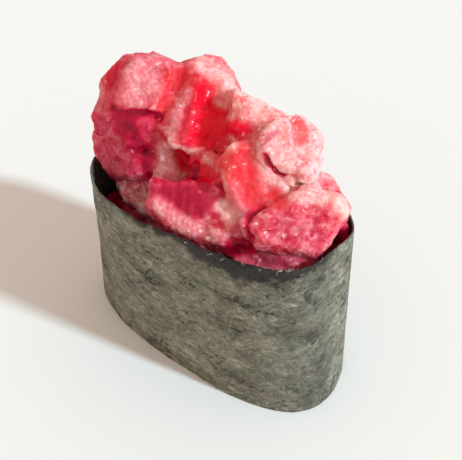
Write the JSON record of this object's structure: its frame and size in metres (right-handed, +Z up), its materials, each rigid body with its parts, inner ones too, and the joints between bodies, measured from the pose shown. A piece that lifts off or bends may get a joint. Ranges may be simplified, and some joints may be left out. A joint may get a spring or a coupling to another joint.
{
  "type": "gunkan sushi with chopped raw tuna",
  "caption": "Oval battleship-style sushi: an upright strip of seaweed round pressed rice, heaped above the rim with hand-cut chunks of raw red fish.",
  "frame": {"origin": "middle of the foot of the whole piece, on the surface it stands on", "axes": "+X along the oval band's long axis, towards the lower end of the heap; +Z up"},
  "size_m": [0.0534, 0.0322, 0.0519],
  "materials": {
    "nori": "matte dark olive grey dried seaweed sheet, mottled and fibrous, near black inside",
    "rice": "moist cooked short-grain rice",
    "tuna": "wet raw red fish, deep crimson cut faces with pale pink frosted edges"
  },
  "bodies": {
    "root": {"nori_band": "nori", "rice_bed": "rice", "tuna_back_high_2": "tuna", "tuna_back_low_1": "tuna", "tuna_back_low_2": "tuna", "tuna_back_low_3": "tuna", "tuna_back_low_4": "tuna", "tuna_bed_1_back": "tuna", "tuna_bed_1_front": "tuna", "tuna_bed_2_back": "tuna", "tuna_bed_2_front": "tuna", "tuna_bed_3_back": "tuna", "tuna_bed_3_front": "tuna", "tuna_bed_4_back": "tuna", "tuna_bed_4_front": "tuna", "tuna_bed_5_back": "tuna", "tuna_bed_5_front": "tuna", "tuna_centre_peak": "tuna", "tuna_front_left": "tuna", "tuna_front_rim": "tuna", "tuna_front_slab": "tuna", "tuna_left_foot": "tuna", "tuna_left_ridge": "tuna", "tuna_left_top": "tuna", "tuna_left_wall": "tuna", "tuna_middle": "tuna", "tuna_middle_right": "tuna", "tuna_right_back": "tuna", "tuna_right_front": "tuna", "tuna_right_low": "tuna", "tuna_right_ridge": "tuna"}
  },
  "joints": []
}
